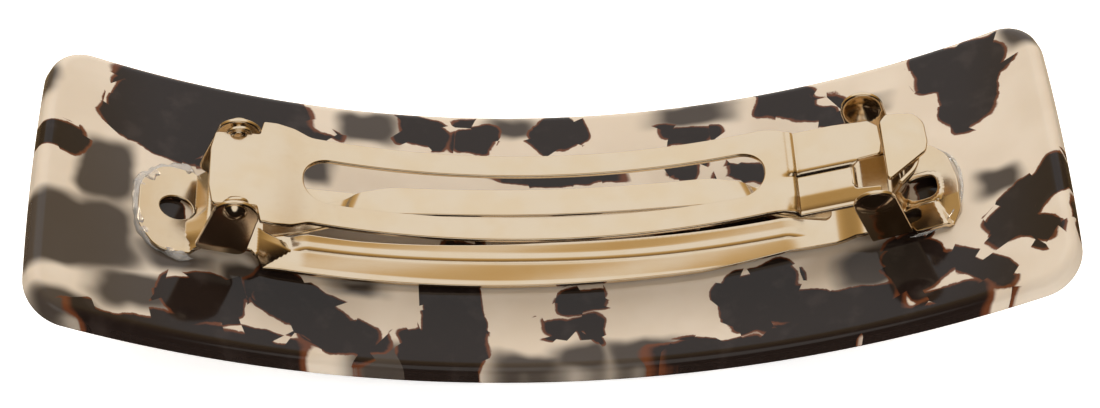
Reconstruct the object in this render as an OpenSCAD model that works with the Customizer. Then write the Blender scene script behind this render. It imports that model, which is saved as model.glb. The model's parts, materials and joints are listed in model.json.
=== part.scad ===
// Curved acetate hair barrette with a riveted French clip on its hollow face.
// Frame: origin under the middle of the plate, on the lowest point of its outer face.
// +X runs along the plate from the hinge to the catch, +Y across it, +Z up through the clip.

/* [Plate] */
// Length of the plate, straight across its two ends
plate_l = 102; // [92:1:130]
// Width of the plate
plate_w = 32.9; // [24:0.1:45]
// Thickness of the acetate
plate_t = 3; // [2:0.1:4]
// Bend radius of the plate's hollow face
plate_r = 95.4; // [80:0.2:160]
// Radius of the plate's four corners
plate_corner = 3.5; // [1:0.1:6]

/* [Clip] */
// Distance of the clip's centreline from the plate's, because it is glued by hand
clip_y = -1.45; // [-3:0.05:3]
// Width of the clip base
base_w = 10.4; // [9:0.1:12.5]
// Straight length from the clip's middle to the end of each pad
clip_half = 40.4; // [39:0.1:44]
// Thickness of the base and arm sheet
sheet_t = 0.5; // [0.4:0.05:0.65]
// Thickness of the adhesive film under the pads
glue_t = 0.15; // [0.1:0.05:0.3]
// Width of the adhesive that shows round the pads
glue_bead = 0.7; // [0.4:0.1:1.2]
// Half the width of the window between the two rails
window_half = 1; // [0.6:0.1:1.6]
// Height of the stiffening ribs above the rails
rib_h = 0.45; // [0.2:0.05:0.7]
// Width of the stiffening ribs
rib_w = 0.9; // [0.6:0.1:1.4]
// Radius of the hole in each pad
pad_hole_r = 1.6; // [1:0.1:2]

/* [Hinge] */
// Distance along the curve from the middle to the hinge
hinge_s = 34.3; // [33:0.1:36]
// Height of the hinge axis above the plate
hinge_h = 8.75; // [8:0.05:9.5]
// Radius of the rivet shanks
rivet_r = 0.7; // [0.5:0.05:0.75]
// Radius of the rivet heads
rivet_head_r = 1.1; // [0.9:0.05:1.3]
// Thickness of the rivet heads
rivet_head_t = 0.35; // [0.2:0.05:0.5]
// Radial clearance of the arm's lugs on the rivets
hinge_clear = 0.04; // [0.02:0.01:0.1]
// Side gap between each ear and the arm's lug
ear_gap = 0.12; // [0.08:0.02:0.3]

/* [Arm] */
// Height of the arm's upper face at the middle
arm_z = 11.5; // [10.5:0.1:14]
// Bend radius of the arm's upper face
arm_r = 73.5; // [68:0.5:78]
// Width of the arm along its rails
arm_w = 10.6; // [9.6:0.1:12]
// Width of the arm at its shoulders, beside the ears
shoulder_w = 12.5; // [11.5:0.1:13.5]
// Width of the long slot in the arm
slot_w = 5.3; // [4:0.1:6]
// Width of the tongue that goes between the release tabs
tongue_w = 8.4; // [7.6:0.1:8.8]

/* [Tension bar] */
// Width of the tension bar
bar_w = 3.2; // [2.4:0.1:3.8]
// Thickness of the tension bar
bar_t = 0.4; // [0.3:0.05:0.5]
// Height of the bar's upper face at the middle
bar_z = 10.65; // [9.6:0.05:10.8]

/* [Release tabs] */
// Width of each release tab
tab_w = 4.2; // [3.4:0.1:4.6]
// Height of each tab above the plate
tab_h = 9.9; // [8.5:0.1:11]
// Outward lean of the tabs, in degrees
tab_lean = 8; // [4:0.5:10]

/* [Hidden] */
$fn = 64;

// Centre of the plate's bend, on which every arc of the base is struck
bend_z = plate_t + plate_r;
// Angle from the middle to the plate's cut end
plate_a = asin(plate_l / 2 / (plate_r + plate_t));
// Heights above the plate's hollow face: adhesive, then base sheet
base_top = glue_t + sheet_t;
base_half = base_w / 2;
rib_y = (base_half + window_half) / 2 - 0.3;

// Hinge axis in X and Z
hinge_a = hinge_s / plate_r * 180 / PI;
hinge_x = -(plate_r - hinge_h) * sin(hinge_a);
hinge_z = bend_z - (plate_r - hinge_h) * cos(hinge_a);
ear_w = 5.1;
ear_top_r = 2.3;
ear_drop = 0.95;
ear_out = base_half + 0.15;
ear_in = ear_out - sheet_t;
lug_out = ear_in - ear_gap;
lug_in = lug_out - sheet_t;
lug_r = rivet_r + 0.65;

// Arm
arm_bend_z = arm_z + arm_r;
shoulder_x = hinge_x + 2.6;
nose_x = hinge_x - 3;
crease_x = 24.1;
slot_x0 = -24.2;
slot_x1 = 21.1;
shoulder_end = -25.2;
// Upper face of the flat nose plate, low enough for the rivets' inner heads, and its bend up to the shoulders
rivet_inner_r = rivet_r + 0.15;
nose_z = hinge_z - rivet_inner_r - 0.1;
nose_bend_x = shoulder_x - 0.9;
shoulder_z = arm_bend_z - sqrt(pow(arm_r, 2) - pow(shoulder_x, 2));

// Tongue, drawn in a frame of its own at the crease
tongue_a = 16;
tongue_z = arm_bend_z - sqrt(pow(arm_r, 2) - pow(crease_x, 2)) - 0.35;
tongue_l = 8.2;
tongue_half = tongue_w / 2;
step_y = -0.6;
step_drop = 0.6;
foot_drop = 2.1;
foot_w = 1;
foot_l = 7.2;
shelf_l = 5;
wall_y = tongue_half - foot_w;

// Tension bar
bar_flat_r = 128;
bar_flat_half = 16;
bar_foot_x = 28.3;
bar_foot_z = bend_z - sqrt(pow(plate_r, 2) - pow(bar_foot_x, 2)) + base_top + 0.35;

// Catch end of the base
tab_s = 34.7;
tab_a = tab_s / plate_r * 180 / PI;
neck_half = base_half - 0.9;
neck_x0 = 23;
neck_x1 = 31.2;
tab_foot = base_half - sheet_t - 0.1;
tab_gap = 0.06;
catch_h = 7;
catch_clear = 0.12;
guard_x = hinge_x + sqrt(pow(crease_x + tongue_l * cos(tongue_a) - hinge_x, 2) + 1) + 0.9;
guard_l = 4;
guard_z = 17.35;
guard_out = base_half - 0.3;

// A band of sheet on the plate's bend: from height h0 to h1 above its hollow face
module bend_band(h0, h1) {
    translate([0, 0, bend_z]) rotate([90, 0, 0]) linear_extrude(plate_w * 2, center = true) difference() {
        circle(plate_r - h0, $fn = 180);
        circle(plate_r - h1, $fn = 180);
    }
}

// Extrudes a plan outline straight up through the clip
module plan(height = 60) {
    linear_extrude(height) children();
}

// Local frame on the plate's hollow face, at arc length s from the middle: X along, Z outward
module at_arc(s) {
    translate([0, 0, bend_z]) rotate([0, -s / plate_r * 180 / PI, 0]) translate([0, 0, -plate_r]) children();
}

// Rectangle with round corners, centred
module round_rect(l, w, r) {
    square([l - 2 * r, w], center = true);
    square([l, w - 2 * r], center = true);
    for (x = [-1, 1], y = [-1, 1]) translate([x * (l / 2 - r), y * (w / 2 - r)]) circle(r);
}

// Slot with half-round ends from x0 to x1
module round_slot(x0, x1, w) {
    translate([x0 + w / 2, -w / 2]) square([x1 - x0 - w, w]);
    for (x = [x0 + w / 2, x1 - w / 2]) translate([x, 0]) circle(w / 2);
}

// Curved acetate plate, its ends cut square to the bend
module plate() {
    reach = plate_r * 2;
    color("wheat") intersection() {
        bend_band(-plate_t, 0);
        plan() round_rect(plate_l, plate_w, plate_corner);
        translate([0, 0, bend_z]) rotate([90, 0, 0]) linear_extrude(plate_w + 2, center = true)
            polygon([[0, 0], [-reach * tan(plate_a), -reach], [reach * tan(plate_a), -reach]]);
    }
}

// Plan of one pad, grown outward by g
module pad_plan(side, g = 0) {
    pad_l = 7;
    translate([side * (clip_half - pad_l / 2), 0]) round_rect(pad_l + 2 * g, base_w + 2 * g, 3.2 + g);
}

// Adhesive: a film under the pad and a bead round its edge
module glue(side) {
    bead_cut = side * (clip_half - 4.3);
    color("whitesmoke") intersection() {
        union() {
            bend_band(0, glue_t);
            difference() {
                bend_band(0, base_top + 0.1);
                plan() base_plan();
                translate([bead_cut - side * 10 - 10, -10, 0]) cube([20, 20, 60]);
            }
        }
        plan() pad_plan(side, glue_bead);
    }
}

module glue_hinge_end() { translate([0, clip_y, 0]) glue(-1); }
module glue_catch_end() { translate([0, clip_y, 0]) glue(1); }

// Plan of the base before its holes: pads, rails and a neck at the catch end
module base_plan() {
    for (side = [-1, 1]) pad_plan(side);
    translate([-clip_half + 4, -base_half]) square([2 * clip_half - 8, base_w]);
}

module base_holes() {
    hole_x = clip_half - 3;
    translate([-hole_x, 0]) circle(pad_hole_r);
    translate([hole_x, 0]) round_rect(2 * pad_hole_r, 2 * pad_hole_r + 0.3, 0.9);
    round_slot(-28.6, 26.6, 2 * window_half);
    for (y = [-1, 1]) {
        // Narrow neck in front of each release tab, and the opening that the tab is bent up from
        translate([neck_x0, y * (neck_half + 5) - 5]) square([neck_x1 - neck_x0, 10]);
        translate([neck_x1 - 0.1, y * (tab_foot + 5) - 5]) square([tab_w + 0.6, 10]);
        translate([neck_x1 - 0.4, y * 2.9]) circle(0.6);
    }
    translate([36, -3.3]) round_rect(2.1, 1.9, 0.6);
}

// One hinge ear: a round-topped tab square to the plate, with the rivet's hole
module ear(y) {
    translate([0, y < 0 ? -ear_out : ear_in, 0]) difference() {
        at_arc(-hinge_s) rotate([90, 0, 0]) translate([0, 0, -sheet_t]) linear_extrude(sheet_t) {
            translate([0.2, hinge_h - ear_drop]) circle(ear_top_r);
            polygon([[-2.3, base_top - 0.3], [ear_w - 2.3, base_top - 0.3], [0.2 + ear_top_r, hinge_h - ear_drop],
                     [0.2 - ear_top_r, hinge_h - ear_drop]]);
        }
        translate([hinge_x, -1, hinge_z]) rotate([-90, 0, 0]) cylinder(r = rivet_r, h = 2 + sheet_t);
    }
}

// Stiffening rib along one rail
module rib(y) {
    intersection() {
        bend_band(base_top - 0.1, base_top + rib_h);
        plan() translate([0, y * rib_y]) round_slot(-26.4, 25.8, rib_w);
    }
}

// Guard bridge: a riser from the base beside the pad's hole and a roof towards the tongue's end
module guard() {
    riser_x = 2.2;
    intersection() {
        translate([guard_x, 0, 0]) linear_extrude(guard_z - 0.1)
            polygon([[riser_x, 3.2], [riser_x, -0.7], [0.85, -2.25], [1.2, -2.6], [riser_x + sheet_t, -0.9],
                     [riser_x + sheet_t, 3.2]]);
        translate([0, 0, bend_z]) rotate([90, 0, 0])
            cylinder(r = plate_r - glue_t - 0.1, h = plate_w, center = true, $fn = 180);
    }
    translate([guard_x, 0, guard_z - sheet_t]) linear_extrude(sheet_t) intersection() {
        polygon([[0, guard_out], [guard_l, guard_out], [guard_l, -0.6], [2, -2.6], [0, -3.6]]);
        translate([guard_l - 20, guard_out - 16]) round_rect_corner();
    }
    translate([guard_x, -3.4, guard_z - 2]) cube([sheet_t, 3, 1.8]);
}

// Square whose far corner is rounded, to trim the roof
module round_rect_corner() {
    square([20, 14]);
    square([18, 16]);
    translate([18, 14]) circle(2);
}

module clip_base() {
    color("khaki") translate([0, clip_y, 0]) {
        intersection() {
            bend_band(glue_t, base_top);
            plan() difference() {
                base_plan();
                base_holes();
            }
        }
        for (y = [-1, 1]) {
            ear(y);
            rib(y);
        }
        guard();
    }
}

// Short rivets, each with a head outside its ear and one inside its lug
module hinge_rivets() {
    color("gold") translate([hinge_x, clip_y, hinge_z]) for (y = [-1, 1]) rotate([y * -90, 0, 0]) {
        translate([0, 0, lug_in - rivet_head_t]) cylinder(r = rivet_inner_r, h = rivet_head_t - 0.03);
        translate([0, 0, lug_in - 0.2]) cylinder(r = rivet_r, h = ear_out - lug_in + 0.3);
        translate([0, 0, ear_out]) cylinder(r = rivet_head_r, h = rivet_head_t);
    }
}

// Plan of the arm: nose side is separate, shoulders blend into rails, rails end at the crease
module arm_plan() {
    wide = shoulder_w / 2;
    blend = 1.6;
    rail_x0 = shoulder_x + 0.6;
    rail_x1 = crease_x - 1.3;
    translate([shoulder_x, -wide]) square([shoulder_end - shoulder_x, shoulder_w]);
    difference() {
        translate([shoulder_end - 0.1, -wide]) square([blend, shoulder_w]);
        for (y = [-1, 1]) translate([shoulder_end + blend, y * (arm_w / 2 + blend - 0.02)]) circle(blend);
    }
    translate([(rail_x0 + rail_x1) / 2, 0]) round_rect(rail_x1 - rail_x0, arm_w, 1.3);
    translate([rail_x1 - 2, 0.1 - tongue_half]) square([crease_x + 0.3 - rail_x1 + 2, tongue_w - 0.2]);
}

// Nose plate between the ears, with a round front
module arm_nose() {
    bow_r = 13.5;
    translate([0, 0, nose_z - sheet_t]) linear_extrude(sheet_t) intersection() {
        translate([nose_x, -lug_out]) square([nose_bend_x - nose_x, 2 * lug_out]);
        translate([nose_x + bow_r, 0]) circle(bow_r);
    }
    translate([0, lug_out, 0]) rotate([90, 0, 0]) linear_extrude(2 * lug_out)
        polygon([[nose_bend_x - 0.01, nose_z - sheet_t], [nose_bend_x - 0.01, nose_z], [shoulder_x, shoulder_z],
                 [shoulder_x + 0.3, shoulder_z - 0.1], [shoulder_x + 0.3, shoulder_z - sheet_t]]);
    for (y = [-1, 1]) translate([hinge_x, y < 0 ? -lug_out : lug_in, hinge_z]) difference() {
        union() {
            rotate([-90, 0, 0]) cylinder(r = lug_r, h = sheet_t);
            translate([-lug_r, 0, nose_z - sheet_t - hinge_z]) cube([2 * lug_r, sheet_t, hinge_z - nose_z + sheet_t]);
        }
        translate([0, -1, 0]) rotate([-90, 0, 0]) cylinder(r = rivet_r + hinge_clear, h = 2 + sheet_t);
    }
}

// Stepped tongue: a rear shelf level with the arm, a lower front shelf, two side walls and two feet
module tongue() {
    translate([crease_x, 0, tongue_z]) rotate([0, -tongue_a, 0]) {
        translate([0, 0, -sheet_t]) linear_extrude(sheet_t) polygon([[-0.1, -2.1], [-0.1, tongue_half],
            [tongue_l - 0.8, tongue_half - 0.3], [tongue_l, tongue_half - 1.2], [tongue_l, step_y + 0.6],
            [tongue_l - 0.5, step_y], [4.4, step_y]]);
        translate([0, -wall_y - 0.1, -step_drop - sheet_t]) cube([shelf_l, wall_y + step_y + 0.4, sheet_t]);
        translate([-0.25, -wall_y - 0.2, -step_drop - sheet_t - 0.05])
            cube([0.7, wall_y + step_y + 0.6, step_drop + sheet_t + 0.15]);
        for (y = [-1, 1]) {
            top = y < 0 ? -step_drop : -0.2;
            translate([0, y < 0 ? -wall_y - sheet_t : wall_y, -foot_drop - sheet_t])
                cube([foot_l, sheet_t, top + foot_drop + sheet_t]);
            translate([0, y < 0 ? -tongue_half : wall_y, -foot_drop - sheet_t]) cube([foot_l, foot_w, sheet_t]);
        }
    }
}

module clasp_arm() {
    color("khaki") translate([0, clip_y, 0]) {
        intersection() {
            translate([0, 0, arm_bend_z]) rotate([90, 0, 0]) linear_extrude(40, center = true) difference() {
                circle(arm_r + sheet_t, $fn = 180);
                circle(arm_r, $fn = 180);
            }
            plan(30) difference() {
                arm_plan();
                round_slot(slot_x0, slot_x1, slot_w);
            }
        }
        arm_nose();
        tongue();
    }
}

// Bowed leaf spring: a flat arc at the top and a straight leg down to each foot
module tension_bar() {
    flat_z = bar_z + bar_flat_r;
    flat_end_z = flat_z - sqrt(pow(bar_flat_r, 2) - pow(bar_flat_half, 2));
    leg_a = atan((flat_end_z - bar_foot_z - 0.1) / (bar_foot_x - bar_flat_half));
    leg_l = (bar_foot_x - bar_flat_half) / cos(leg_a);
    color("khaki") translate([0, clip_y, 0]) {
        intersection() {
            translate([0, 0, flat_z]) rotate([90, 0, 0]) linear_extrude(bar_w, center = true) difference() {
                circle(bar_flat_r + bar_t, $fn = 180);
                circle(bar_flat_r, $fn = 180);
            }
            translate([-bar_flat_half, -bar_w, 0]) cube([2 * bar_flat_half, 2 * bar_w, 30]);
        }
        for (x = [-1, 1]) translate([x * bar_flat_half, 0, flat_end_z]) rotate([0, x * leg_a, 0])
            translate([x < 0 ? -leg_l : -0.1, -bar_w / 2, -bar_t]) cube([leg_l + 0.1, bar_w, bar_t]);
    }
}

// One release tab: a leaning tongue with a dished head and a catch rib on its inner face
module release_tab(y) {
    root = base_top + tab_gap;
    head_r = tab_w / 2;
    catch_y = (catch_h - root) * tan(tab_lean);
    catch_l = tab_w - 1.6;
    mirror([0, y < 0 ? 1 : 0, 0]) at_arc(tab_s) translate([0, tab_foot, root]) rotate([-tab_lean, 0, 0]) {
        rotate([90, 0, 0]) translate([0, 0, -sheet_t]) linear_extrude(sheet_t) {
            translate([-tab_w / 2, 0]) square([tab_w, tab_h - root - head_r]);
            translate([0, tab_h - root - head_r]) circle(head_r);
        }
        translate([-catch_l / 2, tongue_half + catch_clear - tab_foot - catch_y, catch_h - root])
            cube([catch_l, tab_foot + catch_y - tongue_half - catch_clear + 0.1, 0.45]);
    }
}

module release_tab_front() { color("khaki") translate([0, clip_y, 0]) release_tab(-1); }
module release_tab_rear() { color("khaki") translate([0, clip_y, 0]) release_tab(1); }

plate();
clip_base();
clasp_arm();
tension_bar();
hinge_rivets();
release_tab_front();
release_tab_rear();
glue_hinge_end();
glue_catch_end();
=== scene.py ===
"""Visual model of a curved acetate hair barrette with a riveted French clip.

Every length in the functions below is in millimetres and becomes metres in `add_mesh`.
X runs along the plate, Y across it and Z up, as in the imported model.
"""

import json
import math

import bmesh
import bpy
import numpy as np
from bpy.props import FloatProperty, FloatVectorProperty
from mathutils import Matrix, Vector
from mathutils.geometry import delaunay_2d_cdt


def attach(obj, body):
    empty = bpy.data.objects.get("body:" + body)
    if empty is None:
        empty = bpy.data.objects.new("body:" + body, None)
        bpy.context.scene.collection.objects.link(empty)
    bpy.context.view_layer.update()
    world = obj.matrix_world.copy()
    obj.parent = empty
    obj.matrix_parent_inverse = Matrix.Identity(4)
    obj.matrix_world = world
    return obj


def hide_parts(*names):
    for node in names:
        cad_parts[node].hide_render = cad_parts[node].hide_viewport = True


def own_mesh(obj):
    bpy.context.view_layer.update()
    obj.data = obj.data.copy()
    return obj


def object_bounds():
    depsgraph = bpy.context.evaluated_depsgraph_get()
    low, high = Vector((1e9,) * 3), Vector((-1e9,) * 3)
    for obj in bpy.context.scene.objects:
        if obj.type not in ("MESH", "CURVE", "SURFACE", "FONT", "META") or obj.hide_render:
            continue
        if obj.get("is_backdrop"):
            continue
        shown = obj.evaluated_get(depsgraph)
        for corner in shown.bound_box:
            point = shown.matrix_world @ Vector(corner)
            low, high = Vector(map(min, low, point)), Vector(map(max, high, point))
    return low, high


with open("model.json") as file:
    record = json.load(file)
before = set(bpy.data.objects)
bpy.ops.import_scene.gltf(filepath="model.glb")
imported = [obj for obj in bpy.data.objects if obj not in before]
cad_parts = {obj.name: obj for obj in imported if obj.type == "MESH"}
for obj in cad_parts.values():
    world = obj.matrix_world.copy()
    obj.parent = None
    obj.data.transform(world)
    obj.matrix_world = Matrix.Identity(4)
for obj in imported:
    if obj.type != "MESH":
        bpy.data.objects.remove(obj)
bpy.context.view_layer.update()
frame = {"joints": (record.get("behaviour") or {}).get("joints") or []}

bl_info = {
    "name": "Curved acetate barrette",
    "version": (1, 0, 0),
    "blender": (4, 5, 0),
    "location": "View3D > Sidebar > Barrette",
    "description": "Builds the plate, the French clip and the stage of a hair barrette",
    "category": "Add Mesh",
}

MM = 0.001
TAU = 2 * math.pi

# Where the axis of the arm's hinge crosses the middle line of the clip
ARM_HINGE = next(joint for joint in frame["joints"] if joint["name"] == "arm_hinge")
HINGE_X, CLIP_Y, HINGE_Z = (place / MM for place in ARM_HINGE["pos_m"])

# Places along the plate's arc, and distances from the middle line to the middle of the sheet, in mm
EAR_S, EAR_Y, LUG_Y = -34.3, 5.1, 4.42
TAB_S, TAB_Y = 34.7, 4.85
CATCH_HOLE = (37.35, -0.45)
END_BULGE = 0.009
FOLD_LEAN = 0.28 * 0.9

# Fixed tints of the acetate: clouds in the cream, patches seen deep down, thin places in a dark patch
LIGHT_CREAM = (0.70, 0.61, 0.505, 1)
DEEP_BROWN = (0.034, 0.025, 0.021, 1)
THIN_BROWN = (0.030, 0.021, 0.018, 1)


# ---------------------------------------------------------------- settings

class PlateSizes(bpy.types.PropertyGroup):
    """Sizes of the acetate plate"""
    radius: FloatProperty(name="Bend radius", description="Radius of the hollow face, in mm", default=95.4)
    thickness: FloatProperty(name="Thickness", description="Thickness of the acetate, in mm", default=3.0)
    width: FloatProperty(name="Width", description="Width of the plate, in mm", default=32.8)
    length: FloatProperty(name="Length", description="Straight length before the edges are rounded, in mm",
                          default=102.75)
    corner: FloatProperty(name="Corner", description="Radius of the corners in plan, in mm", default=4.2)
    edge: FloatProperty(name="Edge", description="Radius of the polished edges, in mm", default=1.05)


class ClipSizes(bpy.types.PropertyGroup):
    """Sizes of the pressed metal"""
    sheet: FloatProperty(name="Sheet", description="Thickness of the base and arm sheet, in mm", default=0.5)
    spring: FloatProperty(name="Spring", description="Thickness of the tension bar, in mm", default=0.4)
    rim: FloatProperty(name="Rim", description="Radius of the tumbled rims, in mm", default=0.16)
    pitch: FloatProperty(name="Pitch", description="Spacing of the mesh on the small pressings, in mm",
                         default=0.34)


class FinishColours(bpy.types.PropertyGroup):
    """Colours of the finishes"""
    cream: FloatVectorProperty(name="Cream", description="Pale ground of the acetate", subtype="COLOR",
                               default=(0.655, 0.56, 0.45))
    patch: FloatVectorProperty(name="Patch", description="Dark patches of the acetate", subtype="COLOR",
                               default=(0.017, 0.011, 0.009))
    rust: FloatVectorProperty(name="Rust", description="Edges of the dark patches", subtype="COLOR",
                              default=(0.13, 0.042, 0.018))
    gold: FloatVectorProperty(name="Gold", description="Pale gold plating", subtype="COLOR",
                              default=(0.80, 0.67, 0.505))


def settings():
    """The three groups of settings on the scene."""
    scene = bpy.context.scene
    return scene.barrette_plate, scene.barrette_clip, scene.barrette_finish


# ---------------------------------------------------------------- mesh tools

def smoothstep(lo, hi, x):
    """0 before lo, 1 past hi and the cubic 3t^2 - 2t^3 between them. Where lo is the larger, it falls
    instead."""
    t = np.clip((x - lo) / (hi - lo), 0, 1)
    return t * t * (3 - 2 * t)


def plateau(a, b, c, d, x):
    """0 before a, 1 from b to c and 0 after d, with a smoothstep on each side."""
    return smoothstep(a, b, x) * smoothstep(d, c, x)


def add_mesh(name, verts, faces, normals=None):
    """A smooth mesh object at the origin from millimetre points, with its exact normals where they are
    known."""
    mesh = bpy.data.meshes.new(name)
    polygons = faces if isinstance(faces, list) else faces.tolist()
    mesh.from_pydata((np.asarray(verts) * MM).tolist(), [], polygons)
    mesh.polygons.foreach_set("use_smooth", np.ones(len(mesh.polygons), bool))
    mesh.update()
    if normals is not None:
        mesh.normals_split_custom_set_from_vertices(np.asarray(normals).tolist())
    piece = bpy.data.objects.new(name, mesh)
    bpy.context.scene.collection.objects.link(piece)
    return piece


def finish_piece(piece, material, body, slot, *nodes):
    """Gives a piece its material and its body, and hides the CAD nodes that it stands for. Its slot argument
    is not used.
    """
    piece.data.materials.append(material)
    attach(piece, body)
    if nodes:
        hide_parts(*nodes)
    return piece


def join(name, parts):
    """One piece from several closed shells, with their normals kept."""
    bpy.ops.object.select_all(action="DESELECT")
    for part in parts:
        part.select_set(True)
    bpy.context.view_layer.objects.active = parts[0]
    bpy.ops.object.join()
    parts[0].name = parts[0].data.name = name
    return parts[0]


def grid_faces(rows, cols, wrap=True):
    """Quads of a grid whose columns close on themselves, each row below the one before it."""
    r, c = np.meshgrid(np.arange(rows - 1), np.arange(cols if wrap else cols - 1), indexing="ij")
    n = (c + 1) % cols
    return np.stack([r * cols + c, (r + 1) * cols + c, (r + 1) * cols + n, r * cols + n], -1).reshape(-1, 4)


def rounded(corners, step=0.3):
    """Closed outline through (x, y, radius) corners, with an arc at each and points about every step. A
    sharp corner is rounded by at least a least radius, and one that is nearly straight stays a point."""
    sharp, straight, least = 1.3, 1.56, 0.22
    runs = []
    for i, (x, y, r) in enumerate(corners):
        p, before, after = (np.array(corners[k % len(corners)][:2], float) for k in (i, i - 1, i + 1))
        u, v = before - p, after - p
        lu, lv = np.hypot(*u), np.hypot(*v)
        u, v = u / lu, v / lv
        half = 0.5 * math.acos(np.clip(u @ v, -1, 1))
        if half < sharp:
            r = max(r, least)
        elif r <= 0 or half > straight:
            runs.append(p[None])
            continue
        cut = min(r / math.tan(half), 0.48 * lu, 0.48 * lv)
        r = cut * math.tan(half)
        centre = p + (u + v) / np.hypot(*(u + v)) * r / math.sin(half)
        a, b = p + u * cut - centre, p + v * cut - centre
        start = math.atan2(a[1], a[0])
        turn = (math.atan2(b[1], b[0]) - start + math.pi) % TAU - math.pi
        angle = start + turn * np.linspace(0, 1, max(4, int(abs(turn) * r / (0.4 * step)) + 2))
        runs.append(centre + r * np.stack([np.cos(angle), np.sin(angle)], -1))
    points = np.concatenate(runs)
    ahead = np.roll(points, -1, 0)
    count = np.maximum(1, np.ceil(np.hypot(*(ahead - points).T) / step).astype(int))
    index = np.repeat(np.arange(len(points)), count)
    part = np.arange(count.sum()) - np.repeat(np.cumsum(count) - count, count)
    share = (part / count[index])[:, None]
    return points[index] * (1 - share) + ahead[index] * share


def circle(x, y, rx, ry=None, step=0.3, power=2.0):
    """Superellipse outline: |x/rx|^power + |y/ry|^power = 1."""
    ry = ry or rx
    count = max(16, int(TAU * max(rx, ry) / step))
    t = np.arange(count) / count * TAU
    c, s = np.cos(t), np.sin(t)
    across, up = np.sign(c) * abs(c) ** (2 / power), np.sign(s) * abs(s) ** (2 / power)
    return np.stack([x + rx * across, y + ry * up], -1)


def oriented(loop, anticlockwise):
    """The loop, turned round where its signed area says that it runs the other way."""
    ahead = np.roll(loop, -1, 0)
    area = (loop[:, 0] * ahead[:, 1] - loop[:, 1] * ahead[:, 0]).sum()
    return loop if (area > 0) == anticlockwise else loop[::-1]


def inside(points, loops):
    """Whether each point has an odd number of loop edges to its right."""
    hits = np.zeros(len(points), int)
    for loop in loops:
        ahead = np.roll(loop, -1, 0)
        y = points[:, 1:2]
        crosses = (loop[:, 1] > y) != (ahead[:, 1] > y)
        rise = np.where(ahead[:, 1] == loop[:, 1], 1e-9, ahead[:, 1] - loop[:, 1])
        at = (ahead[:, 0] - loop[:, 0]) * (y - loop[:, 1]) / rise + loop[:, 0]
        hits += (crosses & (points[:, 0:1] < at)).sum(1)
    return hits % 2 == 1


def blank(loops, edge, pitch):
    """A flat blank: its loops drawn in by the rim radius, a hexagonal grid of points inside, and its
    triangles. Each rim is a drawn-in loop with the outward direction at its points."""
    rims = []
    for loop in loops:
        run = np.roll(loop, -1, 0) - np.roll(loop, 1, 0)
        run /= np.maximum(np.hypot(*run.T), 1e-9)[:, None]
        out = np.stack([run[:, 1], -run[:, 0]], -1)
        rims.append((loop - edge * out, out))
    lines = [rim for rim, _ in rims]
    low, high = lines[0].min(0), lines[0].max(0)
    gx, gy = np.meshgrid(np.arange(low[0], high[0], pitch), np.arange(low[1], high[1], pitch * 0.866))
    gx = gx + (np.arange(len(gx)) % 2 * pitch / 2)[:, None]
    seeds = np.stack([gx.ravel(), gy.ravel()], -1)
    seeds = seeds[inside(seeds, lines)]
    border = np.concatenate(lines)
    near = np.concatenate([np.sqrt(((part[:, None] - border[None]) ** 2).sum(-1)).min(1)
                           for part in np.array_split(seeds, max(1, len(seeds) // 500))])
    seeds = seeds[near > 0.55 * pitch]
    flat = np.concatenate([border, seeds])
    edges, start = [], 0
    for line in lines:
        k = np.arange(len(line))
        edges.append(np.stack([start + k, start + (k + 1) % len(line)], -1))
        start += len(line)
    net = delaunay_2d_cdt([Vector(p) for p in flat.tolist()], np.concatenate(edges).tolist(), [], 0, 1e-6)
    if len(net[0]) != len(flat):
        raise RuntimeError("the outline of a blank crosses itself")
    tris = np.array(net[2])
    p, q, r = (flat[tris[:, k]] for k in range(3))
    area = (q[:, 0] - p[:, 0]) * (r[:, 1] - p[:, 1]) - (q[:, 1] - p[:, 1]) * (r[:, 0] - p[:, 0])
    tris = np.where((area < 0)[:, None], tris[:, ::-1], tris)
    keep = inside((p + q + r) / 3, lines) & (abs(area) > 1e-7)
    return flat, tris[keep], rims


def pressed(name, loops, form, thick, edge=0.16, pitch=0.34):
    """Sheet metal: a flat blank carried by form(a, b) to its middle surface, with a quarter-round rim of
    radius edge on both faces. The normal is the cross product of the form's slopes along a and b."""
    loops = [oriented(loop, i == 0) for i, loop in enumerate(loops)]
    flat, tris, rims = blank(loops, edge, pitch)
    d = 0.02
    a, b = flat.T
    mid = form(a, b)
    along = form(a + d, b) - form(a - d, b)
    across = form(a, b + d) - form(a, b - d)
    normal = np.cross(along, across)
    normal /= np.linalg.norm(normal, axis=1)[:, None]
    count = sum(len(rim) for rim, _ in rims)
    side = np.concatenate([out for _, out in rims])
    out = along[:count] * side[:, :1] + across[:count] * side[:, 1:]
    out -= normal[:count] * (out * normal[:count]).sum(1)[:, None]
    out /= np.linalg.norm(out, axis=1)[:, None]
    turn = np.linspace(0, math.pi / 2, 5)[1:]
    sweep = np.concatenate([turn, math.pi - turn[::-1]])
    drop = thick / 2 - edge
    rows, row_normals = [], []
    for k, angle in enumerate(sweep[:-1]):
        lift = edge * math.cos(angle) + (drop if k < len(turn) else -drop)
        rows.append(mid[:count] + out * edge * math.sin(angle) + normal[:count] * lift)
        row_normals.append(out * math.sin(angle) + normal[:count] * math.cos(angle))
    n = len(flat)
    verts = np.concatenate([mid + normal * thick / 2, mid - normal * thick / 2] + rows)
    normals = np.concatenate([normal, -normal] + row_normals)
    ring = np.arange(count)
    ids = [ring] + [2 * n + k * count + ring for k in range(len(rows))] + [n + ring]
    faces = [tris.tolist(), (tris[:, ::-1] + n).tolist()]
    start = 0
    for rim, _ in rims:
        k = start + np.arange(len(rim))
        ahead = np.roll(k, -1)
        for upper, lower in zip(ids[:-1], ids[1:]):
            faces.append(np.stack([upper[k], lower[k], lower[ahead], upper[ahead]], -1).tolist())
        start += len(rim)
    return add_mesh(name, verts, [f for group in faces for f in group], normals)


# ---------------------------------------------------------------- forms

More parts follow.
